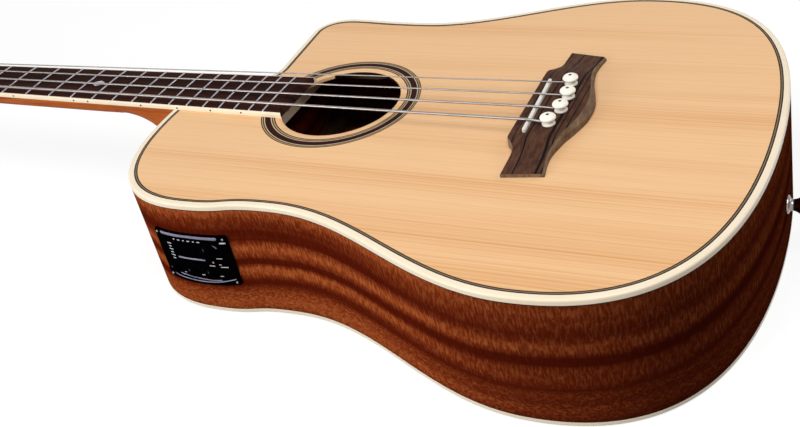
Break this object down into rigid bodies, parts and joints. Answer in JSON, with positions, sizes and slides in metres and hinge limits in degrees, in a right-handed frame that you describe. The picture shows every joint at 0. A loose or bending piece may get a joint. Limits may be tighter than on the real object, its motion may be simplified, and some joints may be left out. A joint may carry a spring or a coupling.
{
  "type": "acoustic bass guitar",
  "caption": "Single-cutaway acoustic bass guitar: hollow spruce-topped body, bound fretted neck, geared tuners, pinned bridge with string ends, and a side preamp.",
  "frame": {"origin": "bottom centre of the bounding box: on the surface the back lies on, midway along the length and the width", "axes": "+X runs from the head to the tail end of the body, +Y from the lowest string to the highest, the cutaway side, +Z out of the soundboard"},
  "size_m": [1.261, 0.416, 0.1279],
  "materials": {
    "spruce": "satin",
    "sapele": "polished",
    "mahogany": "satin",
    "rosewood": "satin",
    "rosette_wood": "polished",
    "cream_binding": "polished",
    "bone": "satin",
    "pin_plastic": "polished",
    "pearl": "polished",
    "fret_wire": "polished",
    "string_steel": "wound",
    "tuner_chrome": "polished",
    "truss_steel": "plain",
    "preamp_black": "glossy moulded",
    "housing_black": "moulded",
    "display_smoke": "polished",
    "button_pink": "moulded"
  },
  "bodies": {
    "guitar": {"neck": "mahogany", "heel_cap": "cream_binding", "truss_rod": "truss_steel", "fingerboard": "rosewood", "board_binding_bass": "cream_binding", "board_binding_treble": "cream_binding", "frets": "fret_wire", "octave_inlay": "pearl", "nut": "bone", "head_veneer": "rosewood", "tuner_casing_e": "tuner_chrome", "tuner_casing_a": "tuner_chrome", "tuner_casing_d": "tuner_chrome", "tuner_casing_g": "tuner_chrome", "soundboard": "spruce", "rosette": "rosette_wood", "top_purfling": "rosette_wood", "top_binding": "cream_binding", "back_binding": "cream_binding", "side_bass": "sapele", "side_treble": "sapele", "back_plate": "sapele", "neck_block": "sapele", "tail_block": "sapele", "top_lining": "spruce", "back_lining": "spruce", "soundboard_braces": "spruce", "transverse_brace": "spruce", "bridge_plate": "spruce", "back_braces": "spruce", "bridge": "rosewood", "saddle": "bone", "saddle_pickup": "housing_black", "string_e": "string_steel", "string_a": "string_steel", "string_d": "string_steel", "string_g": "string_steel", "end_pin": "tuner_chrome", "preamp_panel": "preamp_black", "preamp_housing": "housing_black", "preamp_display": "display_smoke"},
    "key_e": {"tuner_key_e": "tuner_chrome"},
    "post_e": {"tuner_post_e": "tuner_chrome"},
    "key_a": {"tuner_key_a": "tuner_chrome"},
    "post_a": {"tuner_post_a": "tuner_chrome"},
    "key_d": {"tuner_key_d": "tuner_chrome"},
    "post_d": {"tuner_post_d": "tuner_chrome"},
    "key_g": {"tuner_key_g": "tuner_chrome"},
    "post_g": {"tuner_post_g": "tuner_chrome"},
    "pin_e": {"bridge_pin_e": "pin_plastic"},
    "pin_a": {"bridge_pin_a": "pin_plastic"},
    "pin_d": {"bridge_pin_d": "pin_plastic"},
    "pin_g": {"bridge_pin_g": "pin_plastic"},
    "volume_control": {"volume_knob": "preamp_black"},
    "tone_bass_control": {"tone_knob_bass": "preamp_black"},
    "tone_middle_control": {"tone_knob_middle": "preamp_black"},
    "tone_treble_control": {"tone_knob_treble": "preamp_black"},
    "notch_switch": {"notch_button": "button_pink"},
    "truss_adjuster": {"truss_rod_nut": "truss_steel"}
  },
  "joints": [
    {"name": "key_e_turn", "type": "hinge", "parent": "guitar", "child": "key_e", "pos_m": [-0.48449, -0.025, 0.05883], "axis": [0, 1, 0], "continuous": true},
    {"name": "post_e_turn", "type": "hinge", "parent": "guitar", "child": "post_e", "pos_m": [-0.49903, -0.025, 0.07951], "axis": [-0.2548, 0, 0.967], "continuous": true},
    {"name": "key_a_turn", "type": "hinge", "parent": "guitar", "child": "key_a", "pos_m": [-0.55411, -0.025, 0.04049], "axis": [0, 1, 0], "continuous": true},
    {"name": "post_a_turn", "type": "hinge", "parent": "guitar", "child": "post_a", "pos_m": [-0.56866, -0.025, 0.06116], "axis": [-0.2548, 0, 0.967], "continuous": true},
    {"name": "key_d_turn", "type": "hinge", "parent": "guitar", "child": "key_d", "pos_m": [-0.55411, 0.025, 0.04049], "axis": [0, 1, 0], "continuous": true},
    {"name": "post_d_turn", "type": "hinge", "parent": "guitar", "child": "post_d", "pos_m": [-0.56866, 0.025, 0.06116], "axis": [-0.2548, 0, 0.967], "continuous": true},
    {"name": "key_g_turn", "type": "hinge", "parent": "guitar", "child": "key_g", "pos_m": [-0.48449, 0.025, 0.05883], "axis": [0, 1, 0], "continuous": true},
    {"name": "post_g_turn", "type": "hinge", "parent": "guitar", "child": "post_g", "pos_m": [-0.49903, 0.025, 0.07951], "axis": [-0.2548, 0, 0.967], "continuous": true},
    {"name": "pin_e_lift", "type": "slide", "parent": "guitar", "child": "pin_e", "axis": [-0.0133, 0, 0.9999], "range_m": [0, 0.03]},
    {"name": "pin_a_lift", "type": "slide", "parent": "guitar", "child": "pin_a", "axis": [-0.0133, 0, 0.9999], "range_m": [0, 0.03]},
    {"name": "pin_d_lift", "type": "slide", "parent": "guitar", "child": "pin_d", "axis": [-0.0133, 0, 0.9999], "range_m": [0, 0.03]},
    {"name": "pin_g_lift", "type": "slide", "parent": "guitar", "child": "pin_g", "axis": [-0.0133, 0, 0.9999], "range_m": [0, 0.03]},
    {"name": "volume_control_turn", "type": "hinge", "parent": "guitar", "child": "volume_control", "pos_m": [0.2026, -0.15722, 0.06781], "axis": [0, -1, 0], "range_deg": [-150, 150]},
    {"name": "tone_bass_control_turn", "type": "hinge", "parent": "guitar", "child": "tone_bass_control", "pos_m": [0.16093, -0.15577, 0.04254], "axis": [0, -1, 0], "range_deg": [-150, 150]},
    {"name": "tone_middle_control_turn", "type": "hinge", "parent": "guitar", "child": "tone_middle_control", "pos_m": [0.17893, -0.15769, 0.04277], "axis": [0, -1, 0], "range_deg": [-150, 150]},
    {"name": "tone_treble_control_turn", "type": "hinge", "parent": "guitar", "child": "tone_treble_control", "pos_m": [0.19693, -0.15737, 0.04301], "axis": [0, -1, 0], "range_deg": [-150, 150]},
    {"name": "notch_press", "type": "slide", "parent": "guitar", "child": "notch_switch", "axis": [0, 1, 0], "range_m": [0, 0.0008], "stiffness_N_per_m": 400},
    {"name": "truss_adjust", "type": "hinge", "parent": "guitar", "child": "truss_adjuster", "pos_m": [0.161, 0, 0.09734], "axis": [0.9999, 0, 0.0133], "range_deg": [-360, 360]}
  ],
  "couplings": [
    {"joint": "post_e_turn", "follows": "key_e_turn", "ratio": -0.0625},
    {"joint": "post_a_turn", "follows": "key_a_turn", "ratio": -0.0625},
    {"joint": "post_d_turn", "follows": "key_d_turn", "ratio": -0.0625},
    {"joint": "post_g_turn", "follows": "key_g_turn", "ratio": -0.0625}
  ]
}
